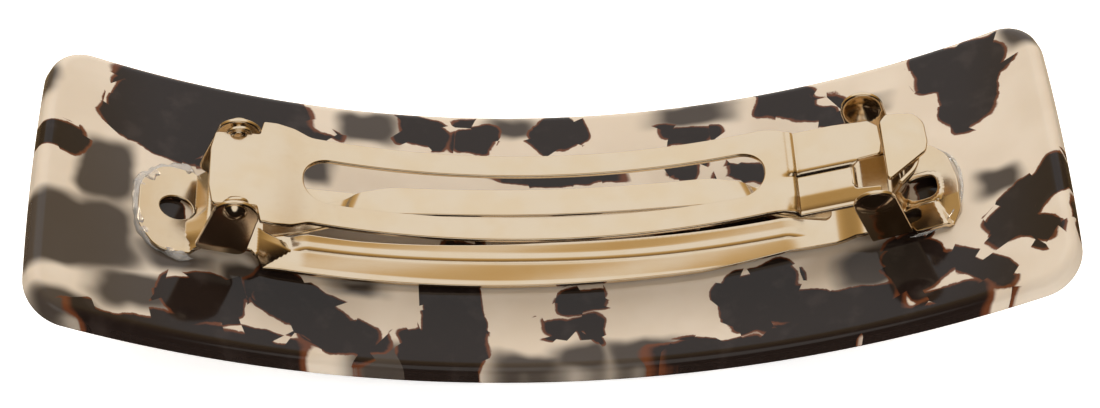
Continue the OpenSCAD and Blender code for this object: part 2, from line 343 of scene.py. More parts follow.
def over_plate(x, y, h):
    """The point h above the hollow face at straight distance x from the middle, on a radius less by h."""
    plate = bpy.context.scene.barrette_plate
    angle = np.arcsin(np.clip(x / plate.radius, -1, 1))
    reach = plate.radius - h
    return np.stack([reach * np.sin(angle), y + CLIP_Y + 0 * x,
                     plate.radius + plate.thickness - reach * np.cos(angle)], -1)


def bend_line(x, points, radius):
    """Straight runs through the points, rounded by averaging over a window of twice the radius."""
    px, pz = np.array(points).T
    window = np.linspace(-radius, radius, 15)[:, None]
    return np.interp(np.ravel(x)[None] + window, px, pz).mean(0).reshape(np.shape(x))


# Heights of the base's middle surface over the plate, or over the height before it
PAD_H, STRIP_RISE, HINGE_SHELF, CATCH_SHELF, CATCH_PAD, COLLAR, WAVER = 0.42, 0.3, 1.7, 0.85, 0.3, 0.2, 0.06
RAIL_EDGE = 2.86

# Section of a rail as (distance from the middle line, height): ridge, step and outer slope
RAIL = ((0.6, 1.02), (0.95, 1.02), (1.9, 0.74), (2.62, 0.7), (2.84, 0.44), (3.08, 0.42), (4.75, -0.02),
        (5.6, -0.04))


def hinge_shelf(x, y):
    """1 on the shelf between the hinge ears. It falls straight to 0 at a bent crease by the pad, and at a
    crease by the rails that comes to a point at each rail."""
    w = abs(y)
    point = np.where(w > RAIL_EDGE, -26.2 - 1.2 * (w - RAIL_EDGE), -26.2 - 0.77 * (RAIL_EDGE - w))
    rails = point - 2.0 * smoothstep(2.0, 1.4, w)
    pad = -35.5 - 0.8 * smoothstep(0.4, -1.6, y) + 0.5 * smoothstep(-2.6, -4.4, y)
    rise = np.clip((x - pad) / (-34.5 - pad), 0, 1)
    fall = np.clip((x - rails) / (np.minimum(-29.8, rails - 1.3) - rails), 0, 1)
    return rise * fall


def base_form(x, y):
    """Middle surface of the clip base: low pads, a raised shelf between the hinge ears and a lower one
    between the tabs, stepped rails that waver by a sine, a collar round the catch pad's hole and a
    dropped front corner."""
    w = abs(y)
    h = PAD_H + STRIP_RISE * plateau(-30, -27, 31, 34, x) + HINGE_SHELF * hinge_shelf(x, y)
    rails = plateau(-26.6, -24.6, 23.6, 26.4, x)
    h = h + rails * (bend_line(w, RAIL, 0.07) + WAVER * np.sin(0.2 * x + 1.1 * w))
    h = h + CATCH_SHELF * plateau(28.5, 32.0, 34.2, 35.7, x) + CATCH_PAD * smoothstep(35.2, 36.2, x)
    from_hole = (abs(x - CATCH_HOLE[0]) ** 3 + abs(y - CATCH_HOLE[1]) ** 3) ** (1 / 3)
    h = h + COLLAR * smoothstep(1.95, 1.7, from_hole)
    h = h - 0.85 * smoothstep(37.3, 38.0, x + 0.3 * y) * np.clip((-1.9 - y) / 3.2, 0, 1)
    return over_plate(x, y, h)


# The arm's upper face: centre height and radius of its arc, then a point and the slope of the tongue
ARC_Z, ARC_RADIUS = 85, 73.5
TONGUE_X, TONGUE_Z, TONGUE_SLOPE = 24.1, 15.24, 0.284


def arm_height(x):
    """Upper face of the arm: an arc about a centre above it, straighter from the shoulders to the nose, a
    ridge and a groove at the crease, and a straight rising tongue past it."""
    arc = ARC_Z - np.sqrt(ARC_RADIUS ** 2 - np.clip(x, -30, 25) ** 2)
    nose = 17.02 - 0.17 * (x + 28.0)
    z = nose + (arc - nose) * smoothstep(-33.5, -23.5, x)
    tongue = TONGUE_Z + TONGUE_SLOPE * (x - TONGUE_X)
    crease = 0.08 * np.exp(-((x - 23.7) / 0.24) ** 2) - 0.05 * np.exp(-((x - 24.2) / 0.24) ** 2)
    return z + (tongue - z) * smoothstep(23.45, 24.35, x) + crease


# Section of the tongue as (distance, y, drop): foot, slope, shelf, wall and the flat rear half
TONGUE = ((-6.0, -5.35, -1.36), (-5.2, -4.6, -1.34), (-4.95, -4.45, -1.2), (-3.7, -3.3, -0.72),
          (-1.3, -0.95, -0.6), (-0.8, -0.75, -0.04), (-0.5, -0.5, 0), (8, 8, 0))
TONGUE_BEND = 0.14


def arm_form(x, y):
    """Middle surface of the arm under its upper face, crowned a little across. Past the crease its front
    part is folded along the tongue's section."""
    s, py, pz = np.array(TONGUE).T
    share = smoothstep(22.0, 24.8, x)
    w = y + share * (bend_line(y, tuple(zip(s, py)), TONGUE_BEND) - y)
    drop = share * bend_line(y, tuple(zip(s, pz)), TONGUE_BEND)
    return np.stack([x, w + CLIP_Y, arm_height(x) - 0.25 - 0.0035 * w ** 2 + drop], -1)


# Side view of the tension bar as (distance from the middle, height)
BAR_LEG = ((0, 10.42), (4, 10.5), (8, 10.72), (12, 11.05), (16.4, 11.47), (19.5, 10.85), (20.9, 9.75),
           (24.6, 8.72), (27.6, 8.2), (29.5, 8.05), (32, 7.9))


def bar_form(x, y):
    """Middle surface of the tension bar: bowed between two slanting bends, a steep leg down to each foot."""
    far = abs(x)
    skew = far + 0.34 * y * plateau(10, 15, 21, 25, far)
    return np.stack([x, y + CLIP_Y, bend_line(skew, BAR_LEG, 0.45)], -1)


def upright(s, side, foot, lean, dish=0.0, head=0.0, tuck=0.35, reach=1.1):
    """A form for a blank that stands on the plate at arc length s: a runs along the plate, b up from it.
    It leans outward by lean per millimetre of height, its head, at height head, is dished outward by
    dish, and its root is tucked inward by tuck over the height reach."""
    plate = bpy.context.scene.barrette_plate
    angle = s / plate.radius
    cos, sin = math.cos(angle), math.sin(angle)
    dish_reach = 3.4

    def form(a, b):
        """The dish is (1 - distance^2 / reach)^1.3 about the head."""
        hollow = np.clip(1 - (a ** 2 + (b - head) ** 2) / dish_reach, 0, 1) ** 1.3
        y = foot + lean * b + dish * hollow - tuck * smoothstep(reach, 0.0, b)
        return np.stack([a * cos + (plate.radius - b) * sin, side * y + CLIP_Y,
                         plate.radius + plate.thickness + a * sin - (plate.radius - b) * cos], -1)

    return form


# ---------------------------------------------------------------- pieces

def build_plate():
    """Curved plate: rings of a rounded rectangle drawn in by an inset, each at its own height, carried
    round the bend. The rings run from the middle line of the hollow face over the rounded rim to the one
    below, and the ends bulge a little in plan."""
    plate = settings()[0]
    outer = plate.radius + plate.thickness
    half_l = outer * math.asin(plate.length / 2 / outer)
    half_w, r, e, t = plate.width / 2, plate.corner, plate.edge, plate.thickness
    turn = np.linspace(0, math.pi / 2, 13)
    flat = np.concatenate([np.linspace(half_w, e + 1, 14)[:-1], np.linspace(e + 1, e, 4)[:-1]])
    inset = np.concatenate([flat, e - e * np.sin(turn), [0.0], e - e * np.cos(turn), flat[::-1]])
    height = np.concatenate([0 * flat + t, t - e + e * np.cos(turn), [t / 2], e - e * np.sin(turn), 0 * flat])
    long, short, arc = 170, 44, 14
    quarter = np.linspace(0, math.pi / 2, arc)
    spread = np.linspace(-1, 1, long + 2)[1:-1]
    rise = np.linspace(-1, 1, short + 2)[1:-1]
    cx = np.concatenate([np.ones(short + arc), -spread, -np.ones(arc + short + arc), spread, np.ones(arc)])
    cy = np.concatenate([rise, np.ones(arc + long + arc), -rise, -np.ones(arc + long + arc)])
    angle = np.concatenate([np.zeros(short), quarter, np.full(long, math.pi / 2), quarter + math.pi / 2,
                            np.full(short, math.pi), quarter + math.pi, np.full(long, 1.5 * math.pi),
                            quarter + 1.5 * math.pi])
    d, reach = inset[:, None], np.maximum(r, inset)[:, None]
    x = cx * (half_l - reach) + np.maximum(r - d, 0) * np.cos(angle)
    y = cy * (half_w - reach) + np.maximum(r - d, 0) * np.sin(angle)
    x = x * (1 - END_BULGE * (y / half_w) ** 2)
    radius = outer - height[:, None]
    verts = np.stack([radius * np.sin(x / outer), y, outer - radius * np.cos(x / outer)], -1)
    rows, cols = x.shape
    piece = add_mesh("acetate_plate", verts.reshape(-1, 3), grid_faces(rows, cols))
    bpy.context.view_layer.objects.active = piece
    piece.select_set(True)
    weld(piece)
    return piece


def weld(piece, distance=0.002):
    """Merges points closer than the distance, drops closed-up faces and turns the normals outward."""
    bm = bmesh.new()
    bm.from_mesh(piece.data)
    bmesh.ops.remove_doubles(bm, verts=bm.verts, dist=distance * MM)
    bmesh.ops.dissolve_degenerate(bm, edges=bm.edges, dist=1e-7)
    bmesh.ops.recalc_face_normals(bm, faces=bm.faces)
    bm.to_mesh(piece.data)
    bm.free()


def base_outline():
    """Plan of the clip base: a round pad at each end, straight rails and a narrower neck by the tabs."""
    front = [(-40.9, -2.6, 2.8), (-38.9, -5.3, 2.2), (-35.9, -5.1, 0.4), (-35.5, -4.75, 0.3),
             (-30.4, -4.55, 0.3), (-30.1, -4.9, 0.3), (-28.9, -5.3, 0.6), (-20, -5.45, 3), (0, -5.28, 5),
             (15, -5.05, 5), (24, -4.25, 3), (30.6, -4.45, 0.5), (31.3, -4.65, 0.2), (35.9, -4.65, 0.2),
             (36.2, -5.4, 0.3), (39.4, -5.45, 0.8)]
    catch_end = [(40.5, -3.6, 2.0), (40.75, -0.5, 6), (40.1, 3.0, 3), (38.4, 5.2, 1.8)]
    return rounded(front + catch_end + mirrored(front[:-2]))


def mirrored(corners):
    """The corners on the other side of the middle line, in the order that carries an outline on."""
    return [(x, -y, r) for x, y, r in reversed(corners)]


def base_windows():
    """Holes in the base: both pads' holes, the window between the rails and the slot by the tab."""
    window = [(-28.4, -1.1, 1.0), (-20, -1.25, 2), (0, -0.8, 6), (26.4, -0.75, 0.7)]
    slot = [(34.75, -4.1, 0.6), (36.85, -4.1, 0.6), (36.85, -2.5, 0.6), (34.75, -2.5, 0.6)]
    return [circle(-37.35, 0.2, 1.55, 1.4), circle(*CATCH_HOLE, 1.42, 1.38, power=3.0),
            rounded(window + mirrored(window)), rounded(slot, 0.2)]


def round_top(radius, middle, height, past, count):
    """Corners on an arc about (middle, height), past a half turn by the same angle at both ends."""
    t = np.linspace(-past, math.pi + past, count)
    return [(middle + radius * math.cos(a), height + radius * math.sin(a), 0) for a in t]


def build_base():
    """The base stamping: pads, ribbed rails, hinge ears and the guard bridge."""
    clip = settings()[1]
    ear = [rounded(round_top(2.28, 0.25, 7.82, 0.15, 22) + [(-2.4, 1.6, 0.9), (2.75, 1.9, 1.2)])]
    parts = [pressed("base_strip", [base_outline()] + base_windows(), base_form, clip.sheet, 0.13, 0.21)]
    for side in (-1, 1):
        stand = upright(EAR_S, side, EAR_Y, 0.0, tuck=0.6, reach=3.4)
        parts.append(pressed("ear", ear, stand, clip.sheet, clip.rim, clip.pitch))
    return join("clip_base_stamping", parts + build_guard(clip))


def build_guard(clip):
    """Guard bridge: a flat roof and the riser below it, which follows a bent line in plan."""
    plate = settings()[0]
    top, riser_h, film = 17.35, 6.0, 0.15
    roof = rounded([(32.6, -3.9, 0.3), (36.75, -0.2, 0.9), (37.05, 1.0, 1.5), (36.95, 3.4, 1.5),
                    (36.0, 4.6, 1.2), (33.2, 4.5, 0.6), (32.55, 3.6, 0.5)])
    wall = rounded([(0.2, 0.0, 0.1), (7.8, 0.0, 0.1), (7.8, riser_h, 0.1), (0.2, riser_h, 0.1)])
    line = ((0.0, 32.9, -3.6), (2.9, 34.9, -1.5), (5.0, 35.3, 0.5), (8.0, 35.3, 3.5))

    def riser(a, b):
        """a runs along the bent line of (distance, x, y) points, b up from the base; the foot and the
        head flare out towards the pad."""
        s, x, y = np.array(line).T
        px, py = bend_line(a, tuple(zip(s, x)), 0.9), bend_line(a, tuple(zip(s, y)), 0.9)
        flare = 0.5 * smoothstep(2.4, 0.0, b) + 0.8 * smoothstep(3.0, riser_h, b)
        foot = plate.radius + plate.thickness + film + 0.5 - np.sqrt(plate.radius ** 2 - px ** 2)
        height = foot + b * (top - 0.45 - foot) / riser_h
        return np.stack([px + flare * 0.9, py - flare * 0.35 + CLIP_Y, height], -1)

    def lid(x, y):
        """The roof, level, its right edge eased down."""
        return np.stack([x, y + CLIP_Y, top - 0.25 - 0.12 * smoothstep(36.2, 37.0, x)], -1)

    return [pressed("guard_roof", [roof], lid, clip.sheet, clip.rim, clip.pitch),
            pressed("guard_riser", [wall], riser, clip.sheet, clip.rim, clip.pitch)]


def lug_form(side):
    """An upright lug about the hinge axis, inside the ear on one side."""
    return lambda a, b: np.stack([HINGE_X + a, side * LUG_Y + CLIP_Y + 0 * a, HINGE_Z + b + 0.1 * a], -1)


def build_arm():
    """The arm: slotted sheet from nose to tongue, its lugs, and the tongue's rear wall and lip."""
    clip = settings()[1]
    shoulder = [(-33.15, -2.3, 3), (-32.75, -4.42, 0.5), (-32.2, -4.5, 0.2), (-28.5, -4.5, 0.15),
                (-28.15, -6.2, 0.15), (-26.9, -6.3, 2.0), (-25.2, -6.05, 2.2)]
    front = [(-23.6, -5.32, 2.0), (0, -5.28, 6), (20.8, -5.22, 2), (22.6, -5.3, 2), (24.4, -5.75, 1.2),
             (31.0, -5.75, 0.5), (32.1, -5.2, 0.3), (32.1, -4.1, 0.2), (29.6, -3.85, 0.3), (29.45, -1.4, 0.3),
             (30.1, -0.75, 0.3), (32.2, -0.6, 0.4), (32.45, 0.6, 0.4)]
    rear = [(32.35, 2.9, 0.3), (31.5, 3.85, 0.3), (28, 4.15, 2), (24.2, 4.2, 0.3), (23.6, 4.3, 0.4),
            (22.7, 4.85, 0.8), (21.3, 5.25, 1.2), (0, 5.32, 6), (-23.6, 5.32, 2.0)]
    slot = rounded([(-24.2, -2.65, 2.6), (21.1, -2.65, 2.6), (21.1, 2.65, 2.6), (-24.2, 2.65, 2.6)])
    sheet = rounded(shoulder + front + rear + mirrored(shoulder))
    parts = [pressed("arm_sheet", [sheet, slot], arm_form, clip.sheet, clip.rim, 0.24)]
    t = np.linspace(0, math.pi, 16)
    top = [(1.3 * math.cos(a), math.sin(a), 0) for a in t]
    lug = rounded(top + [(-1.35, -1.1, 0.1), (1.35, -1.1, 0.1)], 0.25)
    parts += [pressed("lug", [lug], lug_form(side), 0.42, 0.12, 0.3) for side in (-1, 1)]
    return join("clasp_arm_stamping", parts + build_tongue(clip))


def folded(profile, radius):
    """A form for sheet folded along X: b is the distance round the section, rounded at its folds. The
    section is given as (distance, y, z) points, z from the line of the tongue. Depth also carries it
    along X, so that the fold stays nearly square to the tongue."""
    s, y, z = np.array(profile).T

    def form(a, b):
        """a runs along the tongue, b round the section."""
        py, pz = bend_line(b, tuple(zip(s, y)), radius), bend_line(b, tuple(zip(s, z)), radius)
        line = TONGUE_Z - 0.24 + TONGUE_SLOPE * (a - TONGUE_X)
        return np.stack([a - FOLD_LEAN * pz, py + CLIP_Y, line + pz], -1)

    return form


def lip_form(a, b):
    """Two fifths of a roll about a line across the tongue: a runs along the line, b round the roll."""
    turn, roll = b * 1.9, 0.45
    return np.stack([29.3 + roll * np.sin(turn), a - 3.2 + CLIP_Y, 15.42 + roll * np.cos(turn)], -1)


def build_tongue(clip):
    """The tongue's rear wall with its foot, and the rolled right-hand lip of its front shelf."""
    rear = ((0, 4.15, -2.55), (0.75, 3.45, -2.55), (2.9, 3.45, -0.3))
    back = rounded([(24.6, 2.8, 0.2), (31.3, 2.8, 0.2), (31.3, 0.1, 0.3), (24.8, 0.1, 0.3)], 0.25)
    lip = rounded([(0, 0.0, 0.1), (2.4, 0.0, 0.1), (2.4, 1.3, 0.3), (0, 1.3, 0.3)], 0.2)
    return [pressed("rear_wall", [back], folded(rear, 0.22), clip.sheet * 0.9, 0.14, 0.3),
            pressed("shelf_lip", [lip], lip_form, 0.4, 0.12, 0.2)]


def build_bar():
    """The tension bar, narrowed a little at its feet."""
    clip = settings()[1]
    front = [(-28.8, -1.45, 0.8), (-21, -1.62, 3), (21, -1.62, 3), (28.2, -1.45, 0.8)]
    return pressed("tension_bar_spring", [rounded(front + mirrored(front))], bar_form, clip.spring, 0.12, 0.3)


def build_tab(side, name):
    """A release tab: straight sides, a round dished head and a soft bend at its root."""
    clip = settings()[1]
    loop = rounded(round_top(2.12, 0.0, 7.75, 0.05, 26) + [(-2.1, 0.75, 0.15), (2.1, 0.75, 0.15)])
    stand = upright(TAB_S, side, TAB_Y, 0.14, 0.6, 7.8)
    return pressed(name, [loop], stand, clip.sheet, clip.rim, 0.24)


def lathe(profile, side, name):
    """A closed shape turned about the hinge axis from (radius, distance outward) points."""
    r, out = np.array(profile).T
    angle = np.arange(40) / 40 * TAU
    verts = np.stack([HINGE_X + r[:, None] * np.cos(angle), CLIP_Y + side * (out[:, None] + 0 * angle),
                      HINGE_Z + r[:, None] * np.sin(angle)], -1)
    piece = add_mesh(name, verts.reshape(-1, 3), grid_faces(len(profile), 40))
    weld(piece)
    return piece


def build_rivets():
    """Both rivets: a flat inner head, a shank and a domed outer head."""
    inner = [(0, 3.86), (0.4, 3.87), (0.72, 3.92), (0.85, 4.0), (0.85, 4.12), (0.7, 4.16)]
    k = np.linspace(1, 0, 10)
    cap = np.stack([1.14 * k, 5.5 + 0.55 * (1 - k ** 2)], -1).tolist()
    outer = [(0.7, 5.3), (1.14, 5.33), (1.2, 5.42)] + cap
    return join("hinge_rivet_pair", [lathe(inner + outer, side, "rivet") for side in (-1, 1)])


def build_glue(side, name):
    """Adhesive squeezed out round a pad: a half-round bead on the pad's edge whose width and height
    wander along it by a sum of sines, with a heap towards the rear and both ends drawn to a point."""
    count, spokes, span = 150, 14, 2.1
    t = np.linspace(-span, span, count)
    turn = t * 0.86
    x, y = side * (36.4 + 4.45 * np.cos(turn)), 5.25 * np.sign(t) * np.abs(np.sin(turn)) ** 0.8
    wander = np.sin(5.1 * t + side) * 0.5 + np.sin(11.3 * t + 1.3) * 0.3 + np.sin(23.0 * t + 2.1 * side) * 0.2
    ends = smoothstep(0, 0.25, span - np.abs(t))
    amount = 1.0 if side < 0 else 0.2
    heap = 0.55 + 0.35 * smoothstep(-0.2, 0.5, t) + 0.5 * np.exp(-((t - 1.25) / 0.5) ** 2)
    width = (0.75 + 0.3 * wander) * heap * amount * ends + 0.03
    tall = (0.62 + 0.3 * np.roll(wander, 9)) * (0.5 + 0.5 * amount) * ends + 0.02
    run = np.stack([np.gradient(x), np.gradient(y)], -1)
    run /= np.hypot(*run.T)[:, None]
    ring = np.arange(spokes) / spokes * TAU
    off = width[:, None] * np.cos(ring) * side
    px = x[:, None] + off * run[:, 1:]
    py = y[:, None] - off * run[:, :1]
    h = 0.02 + tall[:, None] * np.maximum(np.sin(ring), -0.02)
    verts = over_plate(px.ravel(), py.ravel(), h.ravel())
    faces = grid_faces(count, spokes)
    caps = [list(range(spokes)), list(range((count - 1) * spokes, count * spokes))]
    piece = add_mesh(name, verts, faces.tolist() + caps)
    weld(piece, 0.0005)
    return piece


# ---------------------------------------------------------------- finishes

def new_material(name):
    """An empty node material with its Principled shader: (material, tree, shader)."""
    material = bpy.data.materials.new(name)
    material.use_nodes = True
    return material, material.node_tree, material.node_tree.nodes["Principled BSDF"]


def node(tree, kind, inputs=(), **values):
    """A shader node with its properties, and its inputs set or linked by name or number."""
    made = tree.nodes.new("ShaderNode" + kind)
    for key, value in values.items():
        setattr(made, key, value)
    for key, value in dict(inputs).items():
        if isinstance(value, bpy.types.NodeSocket):
            tree.links.new(value, made.inputs[key])
        else:
            made.inputs[key].default_value = value
    return made


def maths(tree, operation, a, b=0.0, c=0.0):
    """The result of one operation on up to three numbers or sockets."""
    return node(tree, "Math", {0: a, 1: b, 2: c}, operation=operation).outputs[0]


def vectors(tree, operation, *values):
    """The vector that one operation gives on up to three vectors or sockets."""
    return node(tree, "VectorMath", dict(enumerate(values)), operation=operation).outputs[0]


def noise(tree, place, scale, detail=2.0, rough=0.5):
    """A noise of the given scale per metre."""
    return node(tree, "TexNoise", {"Vector": place, "Scale": scale, "Detail": detail, "Roughness": rough})


def mixed(tree, share, a, b):
    """Colour a where share is 0 and b where it is 1."""
    return node(tree, "Mix", {0: share, 6: a, 7: b}, data_type="RGBA").outputs[2]


def rgba(colour):
    """The colour with full opacity."""
    return (*colour[:3], 1.0)


def ramp(tree, value, lo, hi):
    """Smooth 0 to 1 between lo and hi."""
    return node(tree, "MapRange", {0: value, 1: lo, 2: hi}, interpolation_type="SMOOTHSTEP").outputs[0]


def patch_field(tree, place, patches):
    """How far inside the nearest of the patches a point is, in millimetres, by a union of turned rounded
    boxes: each gives its short half times one minus the distance (u^4 + v^4)^(1/4) in units of its two
    halves."""
    field = None
    for x, y, rx, ry, turn in patches:
        turned_box = {"Vector": place, "Location": (x * MM, y * MM, 0),
                          "Rotation": (0, 0, math.radians(turn)), "Scale": (rx * MM, ry * MM, 1)}
        local = node(tree, "Mapping", turned_box, vector_type="TEXTURE").outputs[0]
        square = vectors(tree, "MULTIPLY", local, local)
        length = node(tree, "VectorMath", {0: square}, operation="LENGTH").outputs["Value"]
        depth = maths(tree, "MULTIPLY_ADD", maths(tree, "SQRT", length), -min(rx, ry), min(rx, ry))
        field = depth if field is None else maths(tree, "SMOOTH_MAX", field, depth, 0.35)
    return field


# Dark patches of the tortoise pattern, with four dark spots of painted shade among the near ones, as (x, y,
# half length, half width, turn in degrees), in millimetres
NEAR_PATCHES_AND_PAINTED_SHADE = (
    (-39.0, 9.6, 5.6, 4.2, -18), (-33.8, 13.9, 9.6, 2.7, 0), (-27.6, 12.6, 3.8, 2.2, -14),
    (-22.6, 12.3, 1.8, 0.7, -25), (-50.0, 4.5, 3.8, 2.1, 4), (-34.4, -11.2, 4.4, 3.2, 8),
    (-24.8, -10.4, 5.6, 2.8, -28), (-20.6, -13.0, 3.8, 2.4, -10), (-38.5, -15.9, 8.0, 1.6, 0),
    (-28.5, -15.9, 5.0, 1.4, 0), (-10.0, -9.4, 3.1, 4.6, 10), (-11.2, -14.4, 4.6, 2.7, 0),
    (2.9, -7.8, 2.7, 1.4, 0), (1.2, -10.9, 3.1, 1.3, 4), (4.0, -12.0, 1.2, 1.9, 14),
    (20.4, -10.2, 4.0, 3.5, 0), (27.4, -12.4, 6.6, 2.3, -8), (35.8, -10.4, 2.5, 3.9, 20),
    (41.0, -12.8, 4.6, 1.6, -40), (47.0, -6.0, 5.4, 2.1, 38), (46.2, -9.6, 2.8, 1.4, -35),
    (51.3, -11.2, 1.0, 4.4, 0), (20.4, -15.7, 11.0, 1.7, 0), (35.5, -15.9, 6.0, 1.3, 0),
    (42.2, 13.4, 4.6, 2.8, -8), (43.0, 8.8, 2.5, 4.0, -4), (25.3, 13.9, 3.1, 2.1, -6),
    (28.5, 12.2, 2.4, 1.5, -15), (14.4, 12.3, 3.2, 1.4, -3), (0.9, 13.3, 3.0, 2.5, 25),
    (-7.7, 13.4, 2.5, 2.0, 0), (-13.2, 14.0, 3.0, 1.9, -8), (0.6, 7.2, 7.2, 1.0, 0),
    # Painted shade: (16.0, -1.2) at the end of the next row and (-9.2, -1.1) in the window between the rails,
    # and (-38.1, -1.2) and (37.7, -1.45) under the pads' holes, darken the plate where it is seen in shadow
    # through these openings.
    (14.0, 7.6, 2.0, 1.4, 0), (20.3, 6.0, 2.7, 1.7, -20), (16.0, -1.2, 5.8, 1.4, 0),
    (-9.2, -1.1, 1.7, 0.7, 0), (-38.1, -1.2, 1.9, 1.9, 0), (37.7, -1.45, 1.9, 2.1, 0),
    (35.9, -5.0, 1.7, 1.5, 0),
)
DEEP_PATCHES = (
    (-46.8, -6.6, 6.4, 3.9, 12), (-43.9, 1.6, 2.6, 3.8, 0), (-40.5, -11.6, 3.4, 2.2, 0),
    (-37.0, -6.9, 3.2, 1.1, 0), (-29.6, -8.0, 3.0, 2.4, 0), (-18.6, 13.8, 2.8, 1.9, 0),
    (-19.4, -6.9, 1.8, 0.8, 0), (-23.9, 7.5, 1.7, 1.7, 0), (-47.0, -15.4, 3.4, 1.4, 0),
    (-16.4, -15.6, 4.0, 1.8, 0), (15.4, 14.8, 4.0, 1.5, 0), (33.4, 11.0, 1.4, 1.0, 0),
    (44.0, -2.8, 1.8, 1.6, 0), (48.6, 14.4, 2.0, 1.5, 0), (31.8, -8.8, 3.4, 2.2, 0),
    (8.6, -15.2, 3.6, 1.6, 0), (-2.4, -15.8, 4.0, 1.2, 0), (2.6, -15.0, 2.6, 1.4, 0),
    (-3.6, 14.8, 2.2, 1.2, 0), (6.0, 3.0, 4.4, 1.2, 0), (-51.0, 12.0, 1.6, 2.6, 0),
    (-16.0, 3.0, 2.6, 1.4, 0),
)


def acetate():
    """Polished tortoise acetate: a cream ground clouded in depth, blurred deep patches, and sharp near
    patches with ragged rust-brown edges, under a clear glossy coat. The near patches also hold painted shade:
    dark spots in the window between the rails and under the pads' holes, where the plate is seen in shadow.
    Points are moved by a wide noise, and those of the near patches by the chips of a Voronoi pattern and a
    fine noise as well."""
    finish = settings()[2]
    material, tree, shader = new_material("Tortoise acetate")
    place = node(tree, "TexCoord").outputs["Object"]
    flat = vectors(tree, "MULTIPLY", place, (1, 1, 0.0))
    middle = (0.5, 0.5, 0.5)
    wide = vectors(tree, "SUBTRACT", noise(tree, flat, 210, 1.5).outputs["Color"], middle)
    fine = vectors(tree, "SUBTRACT", noise(tree, flat, 900, 4, 0.62).outputs["Color"], middle)
    chips = node(tree, "TexVoronoi", {"Vector": flat, "Scale": 300}).outputs["Color"]
    chip = vectors(tree, "SUBTRACT", chips, middle)
    bent = vectors(tree, "MULTIPLY_ADD", wide, (0.003, 0.003, 0.0), flat)
    cut = vectors(tree, "MULTIPLY_ADD", chip, (0.0014, 0.0014, 0.0), bent)
    torn = vectors(tree, "MULTIPLY_ADD", fine, (0.0005, 0.0005, 0.0), cut)
    # The near field also holds the painted shade in the window between the rails and under the pads' holes.
    near = patch_field(tree, torn, NEAR_PATCHES_AND_PAINTED_SHADE)
    deep = patch_field(tree, bent, DEEP_PATCHES)
    cloud = noise(tree, flat, 120, 3).outputs[0]
    pale = mixed(tree, ramp(tree, cloud, 0.38, 0.66), rgba(finish.cream), LIGHT_CREAM)
    haze = maths(tree, "MULTIPLY", ramp(tree, deep, -0.9, 0.6), 0.95)
    ground = mixed(tree, haze, pale, DEEP_BROWN)
    rusty = mixed(tree, ramp(tree, near, -0.16, -0.04), ground, rgba(finish.rust))
    thick = noise(tree, flat, 330, 3).outputs[0]
    core = mixed(tree, ramp(tree, thick, 0.52, 0.75), rgba(finish.patch), THIN_BROWN)
    colour = mixed(tree, ramp(tree, near, -0.02, 0.16), rusty, core)
    tree.links.new(colour, shader.inputs["Base Color"])
    rough = maths(tree, "MULTIPLY_ADD", noise(tree, place, 2600, 3).outputs[0], 0.05, 0.06)
    tree.links.new(rough, shader.inputs["Roughness"])
    waves = noise(tree, place, 160, 2).outputs[0]
    hollow = node(tree, "Bump", {"Strength": 0.03, "Distance": 0.0004, "Height": waves}).outputs[0]
    tree.links.new(hollow, shader.inputs["Normal"])
    shader.inputs["IOR"].default_value = 1.49
    shader.inputs["Specular IOR Level"].default_value = 0.36
    shader.inputs["Subsurface Weight"].default_value = 0.12
    shader.inputs["Subsurface Scale"].default_value = 0.0012
    shader.inputs["Subsurface Radius"].default_value = (1.0, 0.72, 0.5)
    return material


def plated(name, rough, wear):
    """Pale gold plate: polished metal whose colour warms and cools a little, with fine rolling marks
    along X and a scatter of small scuffs."""
    finish = settings()[2]
    material, tree, shader = new_material(name)
    place = node(tree, "TexCoord").outputs["Object"]
    tone = noise(tree, place, 260, 2).outputs[0]
    warm = tuple(c * k for c, k in zip(finish.gold, (0.99, 0.96, 0.9)))
    colour = mixed(tree, ramp(tree, tone, 0.35, 0.7), rgba(finish.gold), rgba(warm))
    tree.links.new(colour, shader.inputs["Base Color"])
    rolled = node(tree, "Mapping", {"Vector": place, "Scale": (120, 3800, 3800)}).outputs[0]
    lines = noise(tree, rolled, 1, 2).outputs[0]
    scuffs = noise(tree, place, 1500, 4, 0.7).outputs[0]
    worn = maths(tree, "MULTIPLY_ADD", ramp(tree, scuffs, 0.5, 0.75), wear, rough)
    tree.links.new(maths(tree, "MULTIPLY_ADD", lines, 0.04, worn), shader.inputs["Roughness"])
    grain = node(tree, "Bump", {"Strength": 0.06, "Distance": 0.00002, "Height": lines}).outputs[0]
    dents = {"Strength": 0.1, "Distance": 0.00003, "Height": scuffs, "Normal": grain}
    tree.links.new(node(tree, "Bump", dents).outputs[0], shader.inputs["Normal"])
    shader.inputs["Metallic"].default_value = 1.0
    return material


def adhesive():
    """Clear set adhesive: glassy, with a faint milky cloud and an uneven skin."""
    material, tree, shader = new_material("Clear adhesive")
    place = node(tree, "TexCoord").outputs["Object"]
    milk = ramp(tree, noise(tree, place, 700, 3).outputs[0], 0.45, 0.8)
    colour = mixed(tree, milk, (1.0, 0.99, 0.97, 1), (0.95, 0.93, 0.91, 1))
    tree.links.new(colour, shader.inputs["Base Color"])
    lumps = noise(tree, place, 900, 3).outputs[0]
    skin = node(tree, "Bump", {"Strength": 0.35, "Distance": 0.0003, "Height": lumps}).outputs[0]
    tree.links.new(skin, shader.inputs["Normal"])
    shader.inputs["Roughness"].default_value = 0.05
    shader.inputs["IOR"].default_value = 1.47
    shader.inputs["Transmission Weight"].default_value = 0.75
    return material


# ---------------------------------------------------------------- operators

class BARRETTE_OT_plate(bpy.types.Operator):
    """Build the curved acetate plate"""
    bl_idname = "barrette.plate"
    bl_label = "Acetate plate"

    def execute(self, context):
        finish_piece(build_plate(), acetate(), "base", "acetate", "plate")
        return {"FINISHED"}


